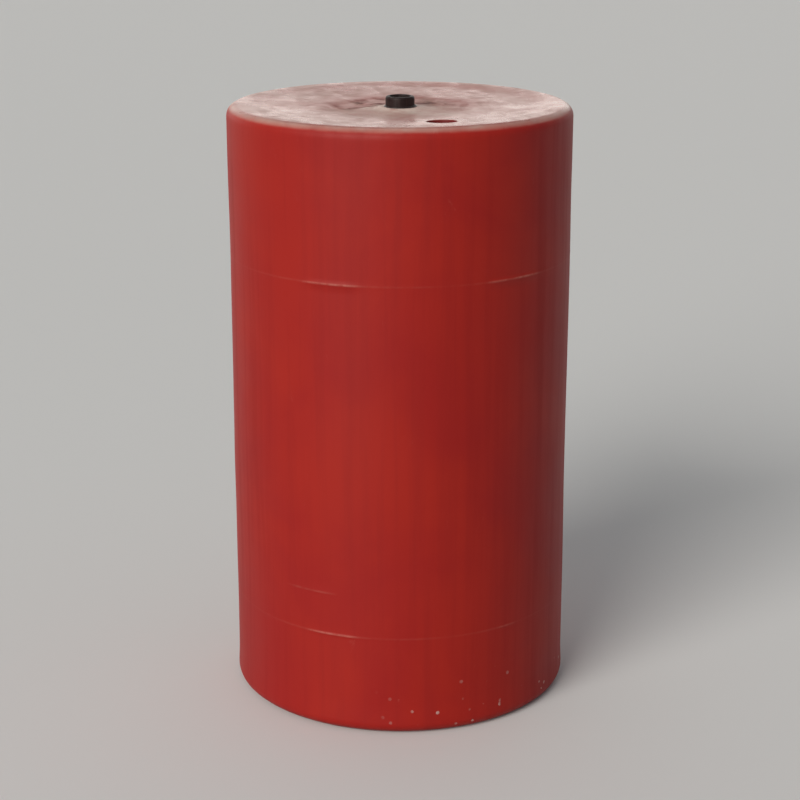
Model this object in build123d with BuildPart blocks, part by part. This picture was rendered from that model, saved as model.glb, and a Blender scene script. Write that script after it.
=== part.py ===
from build123d import *
import os

# Floating barrier buoy, in millimetres. The origin is the centre of the foot, on the
# surface that the float stands on, and +Z runs up the axis of the through pipe.

# Moulded shell: a plain cylinder with rounded edges and a shallow dish in each end
body_diameter = 600.0
body_height = 1050.0
edge_radius = 20.0
rim_land = 22.0
dish_depth = 10.0

# Moulded collar round the pipe, in the middle of each dish
collar_top_diameter = 68.0
collar_foot_diameter = 92.0
collar_rise = 3.0

# Trimmed parting ridges round the side, with their heights above the foot
ridge_heights = (178.0, 793.0)
ridge_foot_width = 5.0
ridge_crest_width = 1.6
ridge_rise = 0.9

# Through pipe: how far it stands out of the upper collar and stays off the floor
pipe_diameter = 50.0
pipe_wall = 6.9
pipe_stand_out = 18.0
pipe_foot_lift = 1.5
pipe_lip_radius = 3.5
pipe_chamfer = 1.0

# Weld beads where the pipe leaves the collars
bead_leg = 2.6

# Filling port in the upper end: a round well with a narrower neck under its floor
port_side_margin = 59.0
port_angle = -80.0
well_diameter = 50.0
well_drop = 15.0
well_lip_chamfer = 1.5
neck_diameter = 37.0
neck_depth = 22.0

# Plug of the filling port
plug_flange = 4.5
plug_stem = 16.0
plug_chamfer = 0.8
plug_dimple_diameter = 26.0
plug_dimple_depth = 1.6

# Clearances, on the radius, between pieces that fit together
pipe_clearance = 0.3
bead_clearance = 0.3
plug_clearance = 0.3

# Worked out from the sizes above
body_radius = body_diameter / 2
rim_radius = body_radius - edge_radius
dish_radius = rim_radius - rim_land
collar_top_radius = collar_top_diameter / 2
collar_foot_radius = collar_foot_diameter / 2
pipe_radius = pipe_diameter / 2
sleeve_radius = pipe_radius + pipe_clearance
bead_radius = pipe_radius + bead_clearance
upper_collar = body_height - dish_depth + collar_rise
lower_collar = dish_depth - collar_rise
pipe_top = upper_collar + pipe_stand_out
well_radius = well_diameter / 2
well_floor = body_height - well_drop
port_offset = body_radius - port_side_margin - well_radius

os.makedirs("parts", exist_ok=True)

# Shell: half of its section turned about the axis, then the ridges and the port
end_rows = (
    # height of the rim, height of the collar, way into the shell
    (body_height, upper_collar, -1),
    (0.0, lower_collar, 1),
)
with BuildPart() as float_shell:
    with BuildSketch(Plane.XZ):
        with BuildLine():
            for rim, collar, inward in end_rows:
                Polyline(
                    (sleeve_radius, collar),
                    (collar_top_radius, collar),
                    (collar_foot_radius, rim + inward * dish_depth),
                    (dish_radius, rim),
                    (rim_radius, rim),
                )
                TangentArc((rim_radius, rim), (body_radius, rim + inward * edge_radius), tangent=(1, 0))
            Line((body_radius, edge_radius), (body_radius, body_height - edge_radius))
            Line((sleeve_radius, lower_collar), (sleeve_radius, upper_collar))
        make_face()
    revolve(axis=Axis.Z)

    with BuildSketch(Plane.XZ):
        with Locations([(body_radius, height) for height in ridge_heights]):
            Polygon(
                (-ridge_rise, -ridge_foot_width / 2),
                (0, -ridge_foot_width / 2),
                (ridge_rise, -ridge_crest_width / 2),
                (ridge_rise, ridge_crest_width / 2),
                (0, ridge_foot_width / 2),
                (-ridge_rise, ridge_foot_width / 2),
                align=None,
            )
    revolve(axis=Axis.Z)

    with BuildSketch(Plane.XY.offset(body_height)):
        with PolarLocations(port_offset, 1, start_angle=port_angle):
            Circle(well_radius)
    extrude(amount=-well_drop, mode=Mode.SUBTRACT)
    well_mouth = float_shell.edges(Select.LAST).sort_by(Axis.Z)[-1]
    chamfer(well_mouth, well_lip_chamfer)

    with BuildSketch(Plane.XY.offset(well_floor)):
        with PolarLocations(port_offset, 1, start_angle=port_angle):
            Circle(neck_diameter / 2)
    extrude(amount=-neck_depth, mode=Mode.SUBTRACT)
float_shell.part.label = "float_shell"
export_step(float_shell.part, "parts/float_shell.step")

# Through pipe: a thick tube, chamfered where it is cut and rounded round its upper lip
with BuildPart() as through_pipe:
    with BuildSketch(Plane.XY.offset(pipe_foot_lift)):
        Circle(pipe_radius)
        Circle(pipe_radius - pipe_wall, mode=Mode.SUBTRACT)
    extrude(amount=pipe_top - pipe_foot_lift)
    lips = through_pipe.edges().filter_by(GeomType.CIRCLE).sort_by(SortBy.RADIUS)
    bore_lips, outer_lips = lips[:2], lips[2:].sort_by(Axis.Z)
    chamfer(bore_lips + outer_lips[:1], pipe_chamfer)
    fillet(outer_lips[-1], pipe_lip_radius)
through_pipe.part.label = "through_pipe"
export_step(through_pipe.part, "parts/through_pipe.step")

# Weld beads: a corner bead turned about the pipe on each collar
bead_rows = (
    # name, collar height, side of the collar that it lies on
    ("pipe_weld_top", upper_collar, 1),
    ("pipe_weld_bottom", lower_collar, -1),
)
for bead_name, collar_height, side in bead_rows:
    bead_root = (bead_radius, collar_height)
    bead_toe = (bead_radius + bead_leg, collar_height)
    bead_head = (bead_radius, collar_height + side * bead_leg)
    with BuildPart() as pipe_weld:
        with BuildSketch(Plane.XZ):
            with BuildLine():
                Polyline(bead_root, bead_toe, bead_head, close=True)
            make_face()
        revolve(axis=Axis.Z)
    pipe_weld.part.label = bead_name
    export_step(pipe_weld.part, "parts/" + bead_name + ".step")

# Plug: a flange on the floor of the well, a stem in the neck and a dimple on top
with BuildPart() as fill_plug:
    with BuildSketch(Plane.XY.offset(well_floor)):
        with PolarLocations(port_offset, 1, start_angle=port_angle):
            Circle(well_radius - plug_clearance)
    extrude(amount=plug_flange)
    plug_face = fill_plug.faces().sort_by(Axis.Z)[-1]
    chamfer(plug_face.edges(), plug_chamfer)

    with BuildSketch(Plane.XY.offset(well_floor + plug_flange)):
        with PolarLocations(port_offset, 1, start_angle=port_angle):
            Circle(plug_dimple_diameter / 2)
    extrude(amount=-plug_dimple_depth, mode=Mode.SUBTRACT)

    with BuildSketch(Plane.XY.offset(well_floor)):
        with PolarLocations(port_offset, 1, start_angle=port_angle):
            Circle(neck_diameter / 2 - plug_clearance)
    extrude(amount=-plug_stem)
fill_plug.part.label = "fill_plug"
export_step(fill_plug.part, "parts/fill_plug.step")
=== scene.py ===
"""Looks of the floating barrier buoy, in metres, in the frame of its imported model."""

import math

import bmesh
import bpy
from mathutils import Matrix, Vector, noise


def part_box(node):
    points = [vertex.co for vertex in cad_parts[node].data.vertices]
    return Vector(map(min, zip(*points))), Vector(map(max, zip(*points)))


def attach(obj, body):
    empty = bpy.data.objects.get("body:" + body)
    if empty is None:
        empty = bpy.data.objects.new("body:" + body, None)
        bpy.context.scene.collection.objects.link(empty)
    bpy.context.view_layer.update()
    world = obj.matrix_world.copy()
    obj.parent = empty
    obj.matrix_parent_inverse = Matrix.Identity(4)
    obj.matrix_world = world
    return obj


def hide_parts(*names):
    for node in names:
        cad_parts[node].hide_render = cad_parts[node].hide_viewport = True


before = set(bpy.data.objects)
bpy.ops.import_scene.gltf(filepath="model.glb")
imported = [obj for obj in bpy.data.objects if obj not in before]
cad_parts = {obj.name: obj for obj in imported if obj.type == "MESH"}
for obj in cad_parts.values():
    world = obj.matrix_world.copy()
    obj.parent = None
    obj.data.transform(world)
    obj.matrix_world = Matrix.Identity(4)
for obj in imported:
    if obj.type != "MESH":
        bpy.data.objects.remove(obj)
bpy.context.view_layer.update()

# Moulded shell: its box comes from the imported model, the rest is as it was built
shell_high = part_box("float_shell")[1]
ridge_rise = 0.0009
ridge_foot = 0.005
ridge_crest = 0.0016
body_radius = shell_high.x - ridge_rise
body_height = shell_high.z
edge_radius = 0.020
rim_land = 0.022
dish_depth = 0.010
dish_radius = body_radius - edge_radius - rim_land
collar_top_radius = 0.034
collar_foot_radius = 0.046

# Small rounds of the shell: where the dish meets its rim, and at the collar's foot and top
dish_round = 0.010
collar_foot_round = 0.005
collar_top_round = 0.004

# Through pipe and its weld beads
pipe_low, pipe_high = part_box("through_pipe")
top_bead_low, top_bead_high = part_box("pipe_weld_top")
foot_bead_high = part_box("pipe_weld_bottom")[1]
upper_collar = top_bead_low.z
lower_collar = foot_bead_high.z
pipe_radius = pipe_high.x
pipe_wall = 0.0069
pipe_lip = 0.0035
pipe_chamfer = 0.0012
bead_leg = top_bead_high.z - top_bead_low.z
sleeve_radius = top_bead_high.x - bead_leg

# Beads as a hand lays them: how far the crest bulges and the run swells, how many lumps there
# are to a radian, and the bearing at which a bead spreads widest
bead_bulge = 1.7
bead_swell = 0.20
bead_lumps = 9.0
bead_wide_bearing = math.radians(330.0)

# Filling port and its plug
plug_low, plug_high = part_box("fill_plug")
port_centre = (plug_low + plug_high) / 2
flange_radius = (plug_high.x - plug_low.x) / 2
well_radius = 0.025
well_drop = 0.015
well_floor = body_height - well_drop
well_lip = 0.0022
well_foot = 0.006
well_corner = 0.001
neck_radius = 0.0185
neck_depth = 0.022
neck_lip = 0.0008
plug_clearance = 0.0003
stem_radius = neck_radius - plug_clearance
stem_round = 0.001
flange_round = 0.0012
dimple_radius = 0.013
dimple_depth = 0.0016
dimple_slope = 0.0006
dimple_round = 0.0005
turning_marks = 9000.0

# Parting ridges by height: the share of the full rise that the trimming left all round, and the
# stretches that it left proud, each from one bearing to another in degrees with its own share
ridges = {
    0.178: (0.10, ((228, 249, 0.85), (294, 305, 0.50), (30, 75, 0.7), (120, 170, 0.8))),
    0.252: (0.0, ((220, 241, 0.24),)),
    0.793: (0.10, ((228, 250, 1.0), (289, 315, 0.9), (10, 40, 0.6), (95, 150, 0.9))),
}
stretch_fade = 5.0

# Soft unevenness of the moulding, in layers: size of the lumps, how far they draw in, and seed
side_slack = ((0.30, 0.0030, 3.0), (0.11, 0.0012, 8.0))
end_slack = ((0.12, 0.0040, 1.0), (0.05, 0.0014, 6.0))

# Shallow trough round the collar in each end
trough_radius = 0.112
trough_width = 0.016
trough_depth = 0.0012

# Where the side's unevenness fades in: up from the foot, and out over the edges
foot_free = 0.060
side_still = body_radius - 0.030
side_free = body_radius - 0.002

# Where the ends' unevenness fades in, out from the collar and the port, and how much of it the
# rim holds back. It reaches what lies within end_zone of an end, short of the side's skin. The
# skin of the sleeve hole keeps its shape.
collar_still = collar_foot_radius - 0.006
collar_free = collar_foot_radius + 0.040
port_free = well_radius + 0.050
rim_free = dish_radius - 0.030
rim_still = body_radius - 0.015
rim_hold = 0.85
end_zone = 0.050
side_skin = 0.004
sleeve_skin = 0.001

# Facets: steps round the axis, and segments of each round
shell_steps = 288
pipe_steps = 128
bead_steps = 180
plug_steps = 96
floor_steps = 96
edge_segments = 10
pipe_lip_segments = 6
well_lip_segments = 5
flange_segments = 4
small_segments = 3
stem_segments = 2

# Cuts across the edges of the shell that run further out or up than this, and across a bead
wide_edge = 0.08
tall_edge = 0.05
shell_cuts = 36
bead_cuts = 5

# Points closer than merge_gap are made one, and a ring within ring_gap is the one that is meant.
# The plug's section stays axis_gap off the axis until its points there are made one.
merge_gap = 1e-6
ring_gap = 1e-5
axis_gap = 1e-7

# Camera, and what it looks at
camera_place = Vector((-0.491, -3.354, 1.528))
camera_aim = Vector((0.0, 0.0, 0.515))
camera_lens = 88.5
sensor_width = 36.0

# Light: an even glow all round, a brighter one low behind the float, and two lamps before it at
# the left
even_glow = 0.24
even_colour = (0.96, 0.985, 1.0, 1.0)
back_glow = 1.45
back_colour = (1.0, 0.965, 0.90, 1.0)
key_place = (-2.60, -2.86, 2.60)
key_aim = (0.0, 0.0, 0.5)
key_spread = math.radians(35.0)
key_energy = 2.15
key_colour = (1.0, 0.955, 0.885)
strip_place = (-2.3, -2.5, 1.1)
strip_aim = (0.0, 0.0, 0.6)
strip_width = 0.5
strip_height = 2.8
strip_glow = 1.2

# Floor: how far it reaches, its colour as it is seen, and the darker one that lights the float
floor_radius = 40.0
floor_shown = (0.80, 0.805, 0.81, 1.0)
floor_cast = (0.34, 0.34, 0.34, 1.0)

# Colours of the shell, with their alpha: its pigment, what lies on it, where it is rubbed, and painted
# sheen and shade
red_deep = (0.375, 0.0095, 0.0068, 1.0)
red_warm = (0.425, 0.0150, 0.0068, 1.0)
red_streak = (0.30, 0.0080, 0.0070, 1.0)
red_grain = (0.50, 0.032, 0.016, 1.0)
# Film on the upper end: dust, and painted sheen of the room's glare at a low view
dust_and_sheen_film = (0.62, 0.51, 0.44, 1.0)
# Whiter dust at the collar, which also paints its highlights and the sheen before the pipe
dust_and_sheen_white = (0.88, 0.69, 0.62, 1.0)
# Painted shade inside the port's well, with some dirt
well_shade = (0.100, 0.012, 0.014, 1.0)
brown_dirt = (0.110, 0.052, 0.046, 1.0)
# Rubbed red, and on the ridges also a painted highlight
red_rubbed_and_highlit = (0.66, 0.24, 0.19, 1.0)
red_scuffed = (0.56, 0.13, 0.10, 1.0)
powder_pale = (0.72, 0.56, 0.51, 1.0)

# Colours of the pipe, the beads and the plug
pipe_deep = (0.015, 0.0062, 0.0062, 1.0)
pipe_drawn = (0.030, 0.0150, 0.0145, 1.0)
pipe_dust = (0.18, 0.13, 0.125, 1.0)
bead_deep = (0.018, 0.009, 0.009, 1.0)
bead_pale = (0.040, 0.025, 0.024, 1.0)
plug_deep = (0.20, 0.011, 0.016, 1.0)
plug_warm = (0.29, 0.020, 0.024, 1.0)
plug_dust = (0.42, 0.27, 0.25, 1.0)


class Bench:
    """A node tree while it is put together."""

    def __init__(self, tree):
        self.nodes = tree.nodes
        self.links = tree.links

    def feed(self, socket, value):
        """Plug in a link, or set a plain number or colour."""
        if isinstance(value, bpy.types.NodeSocket):
            self.links.new(value, socket)
        else:
            socket.default_value = value

    def calc(self, operation, *values):
        """One step of arithmetic on values."""
        node = self.nodes.new("ShaderNodeMath")
        node.operation = operation
        for socket, value in zip(node.inputs, values):
            self.feed(socket, value)
        return node.outputs[0]

    def times(self, first, *others):
        """Values multiplied together."""
        for value in others:
            first = self.calc("MULTIPLY", first, value)
        return first

    def between(self, value, low, high, start=0.0, end=1.0):
        """Smooth step of a value: start at low and below, end at high and above."""
        node = self.nodes.new("ShaderNodeMapRange")
        node.interpolation_type = "SMOOTHSTEP"
        for socket, number in zip(node.inputs, (value, low, high, start, end)):
            self.feed(socket, number)
        return node.outputs["Result"]

    def fading(self, value, low, high, end=0.0):
        """Smooth step down: 1 at low and below, end at high and above."""
        return self.between(value, low, high, 1.0, end)

    def band(self, value, low, high, soft):
        """1 between low and high, fading to 0 over a soft width outside them."""
        return self.times(self.between(value, low - soft, low), self.fading(value, high, high + soft))

    def mix(self, share, first, second):
        """Mix two colours by a share."""
        node = self.nodes.new("ShaderNodeMix")
        node.data_type = "RGBA"
        self.feed(node.inputs["Factor"], share)
        self.feed(node.inputs[6], first)
        self.feed(node.inputs[7], second)
        return node.outputs[2]

    def apart(self, place):
        """The x, y and z of a place."""
        node = self.nodes.new("ShaderNodeSeparateXYZ")
        self.links.new(place, node.inputs[0])
        return node.outputs

    def join(self, x, y, z):
        """A place from its x, y and z."""
        node = self.nodes.new("ShaderNodeCombineXYZ")
        for socket, value in zip(node.inputs, (x, y, z)):
            self.feed(socket, value)
        return node.outputs[0]

    def reach(self, place, centre=(0.0, 0.0)):
        """Distance of a place, given as its x, y and z, from an upright axis."""
        across = self.calc("SUBTRACT", place["X"], centre[0])
        along = self.calc("SUBTRACT", place["Y"], centre[1])
        return self.calc("SQRT", self.calc("ADD", self.times(across, across), self.times(along, along)))


class Finish(Bench):
    """One procedural material while it is put together, on Object coordinates."""

    def __init__(self, name):
        self.material = bpy.data.materials.new(name)
        self.material.use_nodes = True
        super().__init__(self.material.node_tree)
        self.shader = self.nodes["Principled BSDF"]
        self.place = self.nodes.new("ShaderNodeTexCoord").outputs["Object"]

    def set(self, **values):
        """Set sockets of the shader that are the same all over."""
        for name, value in values.items():
            self.shader.inputs[name.replace("_", " ")].default_value = value

    def to(self, socket, value):
        """Plug a value into a socket of the shader."""
        self.links.new(value, self.shader.inputs[socket])

    def stretched(self, stretch, turn=0.0):
        """Object coordinates scaled along each axis, and turned about the upright one."""
        mapping = self.nodes.new("ShaderNodeMapping")
        self.links.new(self.place, mapping.inputs["Vector"])
        mapping.inputs["Scale"].default_value = stretch
        mapping.inputs["Rotation"].default_value = (0.0, 0.0, turn)
        return mapping.outputs["Vector"]

    def clouds(self, scale, detail=3.0, rough=0.5, place=None, warp=0.0):
        """Noise from 0 to 1, with scale in lumps to the metre."""
        node = self.nodes.new("ShaderNodeTexNoise")
        self.links.new(place or self.place, node.inputs["Vector"])
        node.inputs["Scale"].default_value = scale
        node.inputs["Detail"].default_value = detail
        node.inputs["Roughness"].default_value = rough
        node.inputs["Distortion"].default_value = warp
        return node.outputs["Fac"]

    def cells(self, scale):
        """Distance to the nearest of scattered points, with scale in points to the metre."""
        node = self.nodes.new("ShaderNodeTexVoronoi")
        self.links.new(self.place, node.inputs["Vector"])
        node.inputs["Scale"].default_value = scale
        return node.outputs["Distance"]

    def painted(self, name):
        """A value that the piece's mesh carries at its points."""
        node = self.nodes.new("ShaderNodeAttribute")
        node.attribute_name = name
        return node.outputs["Fac"]

    def facing_up(self):
        """How far the surface faces up, from -1 to 1."""
        geometry = self.nodes.new("ShaderNodeNewGeometry")
        return self.apart(geometry.outputs["Normal"])["Z"]

    def relief(self, layers):
        """Stack bumps, each given as height, depth in metres and strength."""
        normal = None
        for height, depth, strength in layers:
            node = self.nodes.new("ShaderNodeBump")
            node.inputs["Strength"].default_value = strength
            node.inputs["Distance"].default_value = depth
            self.links.new(height, node.inputs["Height"])
            if normal is not None:
                self.links.new(normal, node.inputs["Normal"])
            normal = node.outputs["Normal"]
        self.to("Normal", normal)


def make_camera():
    """Stand the camera before the float and a little over it, and turn it to the float's middle."""
    data = bpy.data.cameras.new("camera")
    data.sensor_width = sensor_width
    data.lens = camera_lens
    camera = bpy.data.objects.new("camera", data)
    bpy.context.scene.collection.objects.link(camera)
    camera.location = camera_place
    camera.rotation_euler = (camera_aim - camera_place).to_track_quat("-Z", "Y").to_euler()
    bpy.context.scene.camera = camera


def aim_lamp(name, kind, place, aim):
    """Hang a lamp that shines from its place to its aim."""
    data = bpy.data.lights.new(name, kind)
    lamp = bpy.data.objects.new(name, data)
    bpy.context.scene.collection.objects.link(lamp)
    lamp.location = place
    lamp.rotation_euler = (Vector(aim) - Vector(place)).to_track_quat("-Z", "Y").to_euler()
    lamp.visible_camera = False
    return data


def make_lights():
    """A soft key from the front left, and a tall strip that draws a soft band down the side."""
    key = aim_lamp("key_lamp", "SUN", key_place, key_aim)
    key.angle = key_spread
    key.energy = key_energy
    key.color = key_colour
    strip = aim_lamp("strip_lamp", "AREA", strip_place, strip_aim)
    strip.shape = "RECTANGLE"
    strip.size = strip_width
    strip.size_y = strip_height
    strip.energy = strip_glow * math.pi * strip_width * strip_height


def make_world():
    """Surround the float with even pale light, brighter in a broad band low behind it."""
    world = bpy.data.worlds.new("studio")
    bpy.context.scene.world = world
    world.use_nodes = True
    bench = Bench(world.node_tree)
    background = bench.nodes["Background"]
    way = bench.apart(bench.nodes.new("ShaderNodeTexCoord").outputs["Generated"])
    low_behind = bench.times(bench.between(way["Y"], 0.45, 0.88), bench.between(way["Z"], -0.03, 0.05),
                             bench.fading(way["Z"], 0.22, 0.46))
    bench.feed(background.inputs["Color"], bench.mix(low_behind, even_colour, back_colour))
    bench.feed(background.inputs["Strength"], bench.calc("MULTIPLY_ADD", low_behind, back_glow, even_glow))


def shell_pigment(f, streaks, grain):
    """Red of the moulding: broad blotches, streaks that run down the side, and powder grain."""
    blotches = f.clouds(4.2, 3.0, 0.55, warp=0.6)
    colour = f.mix(f.between(blotches, 0.32, 0.70), red_deep, red_warm)
    colour = f.mix(f.between(streaks, 0.42, 0.72, 0.0, 0.34), colour, red_streak)
    return f.mix(f.between(grain, 0.50, 0.78, 0.0, 0.14), colour, red_grain)


def round_strokes(f, place, radius):
    """Strokes drawn round the pipe: noise that is stretched along the way round."""
    way_round = f.join(f.times(f.calc("DIVIDE", place["X"], radius), 0.20),
                       f.times(f.calc("DIVIDE", place["Y"], radius), 0.20), f.times(radius, 1.9))
    return f.clouds(22.0, 3.0, 0.55, way_round, 1.0)


def dust_patches(f, strokes):
    """Patches of thicker dust on the upper end, drawn out round the pipe and across."""
    across = f.clouds(9.0, 3.0, 0.55, f.stretched((1.8, 0.7, 1.0), 0.5), 1.2)
    return f.times(f.between(strokes, 0.34, 0.66, 0.40, 1.0), f.between(across, 0.32, 0.68))


def collar_dust_and_sheen(f, place, radius, crust):
    """Dust with a ragged edge round the collar and painted highlights on it, and thinner dust wider before
    it with painted sheen.
    """
    ragged = f.calc("MULTIPLY_ADD", f.clouds(19.0, 4.0, 0.6), 0.16, radius)
    close = f.times(f.fading(ragged, 0.100, 0.150), f.between(crust, 0.34, 0.56))
    wide = f.times(f.fading(ragged, 0.110, 0.250), f.fading(place["Y"], -0.10, 0.06, 0.30),
                   f.between(crust, 0.22, 0.60, 0.45, 1.0))
    return close, wide


def in_well(f, place):
    """1 inside the filling port's well, and 0 elsewhere."""
    from_port = f.reach(place, port_centre)
    return f.times(f.fading(from_port, well_radius + 0.0002, well_radius + 0.0012),
                   f.between(place["Z"], well_floor - 0.02, well_floor - 0.01))


def pipe_dirt(f, place, radius, crust):
    """Brown dirt in blots round the pipe, most of it behind, and finer specks further out."""
    behind = f.between(place["Y"], -0.04, 0.05, 0.06, 1.0)
    near_pipe = f.times(f.between(radius, 0.036, 0.052), f.fading(radius, 0.085, 0.150, 0.12), behind)
    blots = f.times(f.between(f.clouds(24.0, 4.0, 0.60, warp=0.6), 0.40, 0.66),
                    f.between(crust, 0.36, 0.60, 0.30, 1.0))
    specks = f.between(f.clouds(170.0, 3.0, 0.7), 0.60, 0.72, 0.0, 0.35)
    return f.times(f.calc("MAXIMUM", blots, specks), near_pipe)


def rubbed_and_highlit_places(f, place, radius, scuffs):
    """Where handling rubs the moulding: its upper edge, and the ridges where they stand proud, painted as
    highlights too.
    """
    upper_edge = f.times(f.band(place["Z"], body_height - 0.007, body_height - 0.003, 0.004),
                         f.between(radius, body_radius - 0.022, body_radius - 0.010), 0.55)
    return f.times(f.calc("MAXIMUM", upper_edge, f.painted("proud")),
                   f.between(scuffs, 0.36, 0.60, 0.3, 1.0))


def powder_flecks(f, place, grain):
    """Pale flecks of moulding powder stuck low on the side, in loose groups towards +X."""
    crumbs = f.fading(f.calc("MULTIPLY_ADD", grain, 0.16, f.cells(56.0)), 0.22, 0.29)
    groups = f.between(f.clouds(17.0, 3.0, 0.6), 0.48, 0.58)
    low = f.times(f.between(place["Z"], 0.003, 0.010), f.fading(place["Z"], 0.015, 0.125))
    return f.times(crumbs, groups, low, f.between(place["X"], -0.10, 0.03))


def shell_finish():
    """Moulded red polyethylene: a dull sheen, wiped and dusty on top with painted sheen, streaked down the
    side.
    """
    f = Finish("shell_red")
    place = f.apart(f.place)
    radius = f.reach(place)
    top = f.between(f.facing_up(), 0.56, 0.88)
    grain = f.clouds(620.0, 2.0, 0.6)
    streaks = f.clouds(46.0, 4.0, 0.6, f.stretched((1.0, 1.0, 0.035)), 0.3)
    scuffs = f.clouds(26.0, 6.0, 0.72, f.stretched((1.0, 1.0, 0.45)), 0.9)
    crust = f.clouds(48.0, 3.0, 0.6)
    colour = shell_pigment(f, streaks, grain)

    # Pale film on the upper end, thicker in patches, about the collar and on the rounded edge: dust, and
    # painted sheen of the bright room's glare
    strokes = round_strokes(f, place, radius)
    patches = dust_patches(f, strokes)
    close, wide = collar_dust_and_sheen(f, place, radius, crust)
    rim = f.fading(f.facing_up(), 0.90, 0.995)
    film_and_sheen = f.calc("MULTIPLY_ADD", patches, 0.30, 0.17)
    for dust, share in ((close, 0.40), (wide, 0.38), (rim, 0.22)):
        film_and_sheen = f.calc("MULTIPLY_ADD", dust, share, film_and_sheen)
    film_and_sheen = f.times(f.calc("MINIMUM", film_and_sheen, 0.85), top)
    colour = f.mix(film_and_sheen, colour, dust_and_sheen_film)
    # Whiter about the collar and before the pipe: dust, with painted highlights on the collar and painted
    # sheen that the pipe's reflection hides
    whiter = f.between(radius, 0.044, 0.066, 0.80, 0.42)
    chalk_and_sheen = f.times(f.calc("MAXIMUM", close, wide), whiter, top)
    colour = f.mix(chalk_and_sheen, colour, dust_and_sheen_white)

    # Painted shade in the well, dirt, rubbed places with painted highlights on the ridges, scuffs, and
    # flecks of powder
    # Painted shade: the inside of the port's well is darkened, with some dirt
    colour = f.mix(f.times(in_well(f, place), 0.70), colour, well_shade)
    dirt = f.times(pipe_dirt(f, place, radius, crust), top, 0.80)
    colour = f.mix(dirt, colour, brown_dirt)
    # Rubbed places: wear, and on the ridges a painted highlight as well
    rubbed = rubbed_and_highlit_places(f, place, radius, scuffs)
    colour = f.mix(f.times(rubbed, 0.55), colour, red_rubbed_and_highlit)
    colour = f.mix(f.times(f.between(scuffs, 0.645, 0.73), 0.16), colour, red_scuffed)
    flecks = powder_flecks(f, place, grain)
    colour = f.mix(f.times(flecks, 0.85), colour, powder_pale)
    f.to("Base Color", colour)

    # Sheen: dull down the side, smoother on the upper end where no dirt or dust lies
    sheen = f.calc("MULTIPLY_ADD", f.clouds(7.0, 4.0, 0.6, warp=0.5), 0.12, 0.46)
    sheen = f.calc("SUBTRACT", sheen, f.times(top, 0.30))
    sheen = f.calc("ADD", sheen, f.times(f.between(streaks, 0.40, 0.72), 0.07))
    sheen = f.calc("ADD", sheen, f.times(patches, top, 0.16))
    sheen = f.calc("ADD", sheen, f.times(dirt, 0.65))
    sheen = f.calc("ADD", sheen, f.times(top, f.between(radius, 0.060, 0.190, 0.16, 0.0)))
    sheen = f.calc("MULTIPLY_ADD", chalk_and_sheen, 0.30, sheen)
    sheen = f.calc("ADD", sheen, f.times(f.calc("MAXIMUM", rubbed, flecks), 0.15))
    f.to("Roughness", sheen)

    f.relief((
        (f.clouds(75.0, 2.0, 0.5), 0.0008, 0.14),
        (f.clouds(16.0, 2.0, 0.5, f.stretched((1.0, 1.0, 0.30))), 0.0035, 0.20),
        (streaks, 0.0006, 0.16),
        (grain, 0.00022, 0.16),
        (scuffs, 0.0006, 0.08),
        (f.times(strokes, top), 0.0010, 0.12),
        (flecks, 0.0010, 0.35),
    ))
    f.set(IOR=1.5, Specular_IOR_Level=0.34)
    return f.material


def pipe_finish():
    """Extruded black polyethylene: drawn lines along it and a dusty, rubbed end."""
    f = Finish("pipe_black")
    drawn = f.clouds(420.0, 4.0, 0.6, f.stretched((1.0, 1.0, 0.02)))
    dust = f.clouds(95.0, 4.0, 0.65, warp=0.4)
    top = f.between(f.facing_up(), 0.35, 0.95)
    colour = f.mix(f.between(drawn, 0.40, 0.70), pipe_deep, pipe_drawn)
    dusty = f.times(f.between(dust, 0.42, 0.72), f.calc("MULTIPLY_ADD", top, 0.28, 0.08))
    f.to("Base Color", f.mix(dusty, colour, pipe_dust))
    f.to("Roughness", f.calc("MULTIPLY_ADD", dust, 0.26, 0.36))
    f.set(Specular_IOR_Level=0.30)
    f.relief(((drawn, 0.0003, 0.30), (f.clouds(900.0, 2.0), 0.0002, 0.25), (dust, 0.0006, 0.18)))
    return f.material


def bead_finish():
    """Black weld bead, laid by hand: glossier than the pipe, with ripples across it."""
    f = Finish("bead_black")
    ripples = f.clouds(320.0, 3.0, 0.6)
    f.to("Base Color", f.mix(f.between(ripples, 0.4, 0.7), bead_deep, bead_pale))
    f.to("Roughness", f.calc("MULTIPLY_ADD", ripples, 0.22, 0.26))
    f.relief(((ripples, 0.0006, 0.40),))
    return f.material


def plug_finish():
    """Dark red plug with turning marks on its face and dust in the well."""
    f = Finish("plug_red")
    rings = f.calc("SINE", f.times(f.reach(f.apart(f.place), port_centre), turning_marks))
    dust = f.clouds(160.0, 4.0, 0.65)
    colour = f.mix(f.between(dust, 0.35, 0.7), plug_deep, plug_warm)
    f.to("Base Color", f.mix(f.between(dust, 0.60, 0.80, 0.0, 0.30), colour, plug_dust))
    f.to("Roughness", f.calc("MULTIPLY_ADD", dust, 0.25, 0.32))
    f.relief(((rings, 0.00006, 0.25), (dust, 0.0004, 0.20)))
    return f.material


def new_piece(name, bm, material, node):
    """Turn a finished bmesh into a smooth piece that rides on the float and stands for its node."""
    data = bpy.data.meshes.new(name)
    bm.to_mesh(data)
    bm.free()
    for polygon in data.polygons:
        polygon.use_smooth = True
    piece = bpy.data.objects.new(name, data)
    bpy.context.scene.collection.objects.link(piece)
    data.materials.append(material)
    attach(piece, "root")
    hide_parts(node)


def reach_of(place, centre=Vector((0.0, 0.0, 0.0))):
    """Distance of a place from an upright axis."""
    return math.hypot(place.x - centre.x, place.y - centre.y)


def spans(edge):
    """How far an edge runs out from the axis, and how far it runs up."""
    first, second = (v.co for v in edge.verts)
    return abs(reach_of(first) - reach_of(second)), abs(first.z - second.z)


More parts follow.
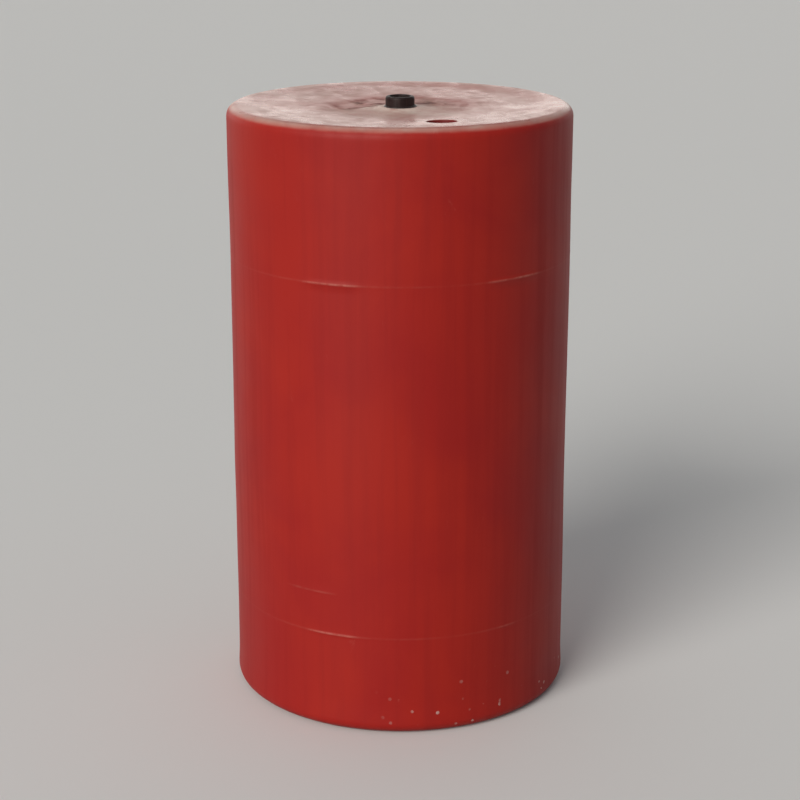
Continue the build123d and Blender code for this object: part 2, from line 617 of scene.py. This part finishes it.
def outline(bm, corners):
    """Draw a closed half section, radius by height."""
    points = [bm.verts.new((radius, 0.0, height)) for radius, height in corners]
    for i in range(len(points)):
        bm.edges.new((points[i - 1], points[i]))


def turn_round(bm, steps):
    """Turn a closed half section about the axis into a ring with its faces outwards."""
    bmesh.ops.spin(bm, geom=bm.verts[:] + bm.edges[:], cent=(0, 0, 0), axis=(0, 0, 1),
                   angle=math.tau, steps=steps, use_merge=True)
    bmesh.ops.remove_doubles(bm, verts=bm.verts[:], dist=merge_gap)
    bmesh.ops.recalc_face_normals(bm, faces=bm.faces[:])


def round_corner(bm, radius, height, size, segments):
    """Round the ring of edges that lies at a radius and a height."""
    ring = [edge for edge in bm.edges
            if all(abs(reach_of(v.co) - radius) < ring_gap and abs(v.co.z - height) < ring_gap
                   for v in edge.verts)]
    bmesh.ops.bevel(bm, geom=ring, offset=size, offset_type="OFFSET", affect="EDGES",
                    segments=segments, profile=0.5, material=-1)


def smooth_step(value, low, high):
    """0 at low and below, 1 at high and above, and smooth between."""
    share = min(max((value - low) / (high - low), 0.0), 1.0)
    return share * share * (3.0 - 2.0 * share)


def drawn_in(place, layers):
    """How far the moulding draws in at a place, from layers of soft uneven lumps."""
    depth = 0.0
    for size, most, seed in layers:
        depth += most * (0.5 + 0.5 * noise.noise(place / size + Vector((0.0, 0.0, seed))))
    return depth


def ridge_share(bearing, trimmed, stretches):
    """How far a parting ridge stands at a bearing, as a share of its full rise."""
    share = trimmed * (1.0 + 0.8 * noise.noise(Vector((bearing * 0.07, 4.0, 1.0))))
    for start, end, rise in stretches:
        fade = min((bearing - start) / stretch_fade, (end - bearing) / stretch_fade, 1.0)
        if fade > 0.0:
            ragged = 1.0 + 0.25 * noise.noise(Vector((bearing * 0.6, start, 0.0)))
            share = max(share, rise * fade * ragged)
    return min(share, 1.0)


def draw_in_side(v, proud):
    """Trim a ridge where the point lies on one, and draw the side in by its slack."""
    radius = reach_of(v.co)
    if radius > body_radius + ridge_rise / 2:
        ridge = min(ridges, key=lambda height: abs(height - v.co.z))
        bearing = math.degrees(math.atan2(v.co.y, v.co.x)) % 360.0
        v[proud] = ridge_share(bearing, *ridges[ridge])
        trimmed_radius = body_radius + (radius - body_radius) * v[proud]
        v.co.xy = v.co.xy * (trimmed_radius / radius)
        radius = trimmed_radius
    inward = drawn_in(v.co, side_slack)
    inward *= smooth_step(v.co.z, 0.0, foot_free) * smooth_step(radius, side_still, side_free)
    v.co.xy = v.co.xy * (1.0 - inward / radius)


def draw_in_end(v):
    """Draw an end in by soft folds, with a shallow trough round the pipe, clear of collar and port."""
    upper = v.co.z > body_height / 2
    radius = reach_of(v.co)
    free = smooth_step(radius, collar_still, collar_free)
    free *= 1.0 - rim_hold * smooth_step(radius, rim_free, rim_still)
    if upper:
        free *= smooth_step(reach_of(v.co, port_centre), well_radius, port_free)
    folds = drawn_in(v.co, end_slack)
    folds += trough_depth * math.exp(-((radius - trough_radius) / trough_width) ** 2)
    v.co.z += (-folds if upper else folds) * free


def shape_shell(bm):
    """Give the moulding its uneven side and ends, without passing its sizes."""
    proud = bm.verts.layers.float.new("proud")
    for v in bm.verts:
        radius = reach_of(v.co)
        if radius > sleeve_radius + sleeve_skin:
            draw_in_side(v, proud)
            if radius < body_radius - side_skin and not end_zone < v.co.z < body_height - end_zone:
                draw_in_end(v)


def step_down(bm, edges, radius, height=None, drop=0.0):
    """Extrude the port's open ring to a radius, and to a height or down by a drop."""
    made = bmesh.ops.extrude_edge_only(bm, edges=edges)["geom"]
    for v in (g for g in made if isinstance(g, bmesh.types.BMVert)):
        share = radius / reach_of(v.co, port_centre)
        v.co.x = port_centre.x + (v.co.x - port_centre.x) * share
        v.co.y = port_centre.y + (v.co.y - port_centre.y) * share
        v.co.z = v.co.z - drop if height is None else height
    return [g for g in made if isinstance(g, bmesh.types.BMEdge)]


def sink_port(bm):
    """Open the filling port in the upper dish: a rounded lip, the well and the neck under it."""
    mouth = well_radius + well_lip
    inside = [f for f in bm.faces if f.calc_center_median().z > body_height - 2 * dish_depth
              and reach_of(f.calc_center_median(), port_centre) < mouth]
    bmesh.ops.delete(bm, geom=inside, context="FACES")
    rim = [e for e in bm.edges if e.is_boundary]
    ordered = sorted({v for e in rim for v in e.verts},
                     key=lambda v: math.atan2(v.co.y - port_centre.y, v.co.x - port_centre.x))
    first = math.atan2(ordered[0].co.y - port_centre.y, ordered[0].co.x - port_centre.x)
    for i, v in enumerate(ordered):
        bearing = first + math.tau * i / len(ordered)
        v.co.x = port_centre.x + mouth * math.cos(bearing)
        v.co.y = port_centre.y + mouth * math.sin(bearing)
        up_the_dish = (reach_of(v.co) - collar_foot_radius) / (dish_radius - collar_foot_radius)
        v.co.z = body_height - dish_depth * (1.0 - up_the_dish)

    dropped = 0.0
    for i in range(1, well_lip_segments + 1):
        angle = math.pi / 2 * i / well_lip_segments
        down = well_lip * (1.0 - math.cos(angle))
        rim = step_down(bm, rim, well_radius + well_lip * (1.0 - math.sin(angle)), drop=down - dropped)
        dropped = down
    for radius, height in ((well_radius, well_floor + well_foot), (well_radius, well_floor + well_corner),
                           (well_radius - well_corner, well_floor), (neck_radius + neck_lip, well_floor),
                           (neck_radius, well_floor - neck_lip), (neck_radius, well_floor - neck_depth)):
        rim = step_down(bm, rim, radius, height)
    bmesh.ops.contextual_create(bm, geom=rim)
    bmesh.ops.recalc_face_normals(bm, faces=bm.faces[:])


def ridge_corners(height):
    """Corners of a parting ridge in the shell's half section, from its foot up."""
    crest_radius = body_radius + ridge_rise
    return [(body_radius, height - ridge_foot / 2), (crest_radius, height - ridge_crest / 2),
            (crest_radius, height + ridge_crest / 2), (body_radius, height + ridge_foot / 2)]


def make_shell(material):
    """Moulded shell, from its half section: its port is sunk in before it is made uneven."""
    bm = bmesh.new()
    corners = [(sleeve_radius, lower_collar), (collar_top_radius, lower_collar),
               (collar_foot_radius, dish_depth), (dish_radius, 0.0), (body_radius, 0.0)]
    for height in ridges:
        corners += ridge_corners(height)
    corners += [(body_radius, body_height), (dish_radius, body_height),
                (collar_foot_radius, body_height - dish_depth), (collar_top_radius, upper_collar),
                (sleeve_radius, upper_collar)]
    outline(bm, corners)
    turn_round(bm, shell_steps)
    for height, collar in ((body_height, upper_collar), (0.0, lower_collar)):
        round_corner(bm, body_radius, height, edge_radius, edge_segments)
        round_corner(bm, dish_radius, height, dish_round, small_segments)
        round_corner(bm, collar_foot_radius, abs(height - dish_depth), collar_foot_round, small_segments)
        round_corner(bm, collar_top_radius, collar, collar_top_round, small_segments)
    wide = [e for e in bm.edges if spans(e)[0] > wide_edge]
    tall = [e for e in bm.edges if spans(e)[1] > tall_edge and reach_of(e.verts[0].co) > collar_foot_radius]
    bmesh.ops.subdivide_edges(bm, edges=wide + tall, cuts=shell_cuts, use_grid_fill=True)
    sink_port(bm)
    shape_shell(bm)
    new_piece("shell", bm, material, "float_shell")


def make_pipe(material):
    """Open pipe from end to end, with a rounded upper lip and a small chamfer where it is cut."""
    bm = bmesh.new()
    bore = pipe_radius - pipe_wall
    lip_foot = pipe_lip * 1.5
    outline(bm, [(bore, pipe_low.z), (pipe_radius, pipe_low.z), (pipe_radius, pipe_low.z + lip_foot),
                 (pipe_radius, pipe_high.z - lip_foot), (pipe_radius, pipe_high.z), (bore, pipe_high.z),
                 (bore, pipe_high.z - lip_foot), (bore, pipe_low.z + lip_foot)])
    turn_round(bm, pipe_steps)
    round_corner(bm, pipe_radius, pipe_high.z, pipe_lip, pipe_lip_segments)
    for radius, height in ((pipe_radius, pipe_low.z), (bore, pipe_high.z), (bore, pipe_low.z)):
        round_corner(bm, radius, height, pipe_chamfer, small_segments)
    new_piece("pipe", bm, material, "through_pipe")


def make_bead(material, name, node, root_height, side, spread):
    """Weld bead round the pipe, lumpy as a hand leaves it, and spread wider at one bearing."""
    bm = bmesh.new()
    outline(bm, [(sleeve_radius, root_height), (sleeve_radius + bead_leg, root_height),
                 (sleeve_radius, root_height + side * bead_leg)])
    turn_round(bm, bead_steps)
    crest = [e for e in bm.edges if min(spans(e)) > bead_leg / 2]
    bmesh.ops.subdivide_edges(bm, edges=crest, cuts=bead_cuts, use_grid_fill=True)
    for v in bm.verts:
        radius = reach_of(v.co)
        out, up = radius - sleeve_radius, abs(v.co.z - root_height)
        if max(out, up) > ring_gap:
            bearing = math.atan2(v.co.y, v.co.x)
            bulge = 1.0 + bead_bulge * out * up / bead_leg ** 2
            lump = noise.noise(Vector((bearing * bead_lumps, side * 3.0, 0.0)))
            grown = bulge * (1.0 - bead_swell + bead_swell * lump)
            wider = 1.0 + spread * max(math.cos(bearing - bead_wide_bearing), 0.0) ** 2
            v.co.xy = v.co.xy * ((sleeve_radius + out * min(grown * wider, wider)) / radius)
            v.co.z = root_height + side * min(up * grown * (1.0 + (wider - 1.0) * 0.5), bead_leg * wider)
    bmesh.ops.recalc_face_normals(bm, faces=bm.faces[:])
    new_piece(name, bm, material, node)


def make_plug(material):
    """Filling plug: a flange with a rounded edge and a dimple, and its stem in the neck."""
    bm = bmesh.new()
    dimple_floor = plug_high.z - dimple_depth
    outline(bm, [(axis_gap, plug_low.z), (stem_radius, plug_low.z), (stem_radius, well_floor),
                 (flange_radius, well_floor), (flange_radius, plug_high.z), (dimple_radius, plug_high.z),
                 (dimple_radius - dimple_slope, dimple_floor), (axis_gap, dimple_floor)])
    turn_round(bm, plug_steps)
    round_corner(bm, flange_radius, plug_high.z, flange_round, flange_segments)
    round_corner(bm, dimple_radius, plug_high.z, dimple_round, small_segments)
    round_corner(bm, stem_radius, plug_low.z, stem_round, stem_segments)
    bmesh.ops.remove_doubles(bm, verts=bm.verts[:], dist=2 * merge_gap)
    bmesh.ops.translate(bm, verts=bm.verts[:], vec=(port_centre.x, port_centre.y, 0.0))
    new_piece("plug", bm, material, "fill_plug")


def make_floor():
    """Plain pale floor, which throws only part of its light back up at the float."""
    bm = bmesh.new()
    bmesh.ops.create_circle(bm, cap_ends=True, segments=floor_steps, radius=floor_radius)
    data = bpy.data.meshes.new("floor")
    bm.to_mesh(data)
    bm.free()
    floor = bpy.data.objects.new("floor", data)
    bpy.context.scene.collection.objects.link(floor)
    f = Finish("floor_pale")
    ray = f.nodes.new("ShaderNodeLightPath").outputs
    shown = f.calc("MAXIMUM", f.calc("MAXIMUM", ray["Is Camera Ray"], ray["Is Glossy Ray"]),
                   ray["Is Transmission Ray"])
    f.to("Base Color", f.mix(shown, floor_cast, floor_shown))
    f.set(Roughness=0.85, Specular_IOR_Level=0.2)
    data.materials.append(f.material)


bpy.context.scene.view_settings.view_transform = "Standard"
make_camera()
make_world()
make_lights()
make_floor()

make_shell(shell_finish())
make_pipe(pipe_finish())
bead_material = bead_finish()
make_bead(bead_material, "bead_top", "pipe_weld_top", upper_collar, side=1.0, spread=0.8)
make_bead(bead_material, "bead_bottom", "pipe_weld_bottom", lower_collar, side=-1.0, spread=0.3)
make_plug(plug_finish())
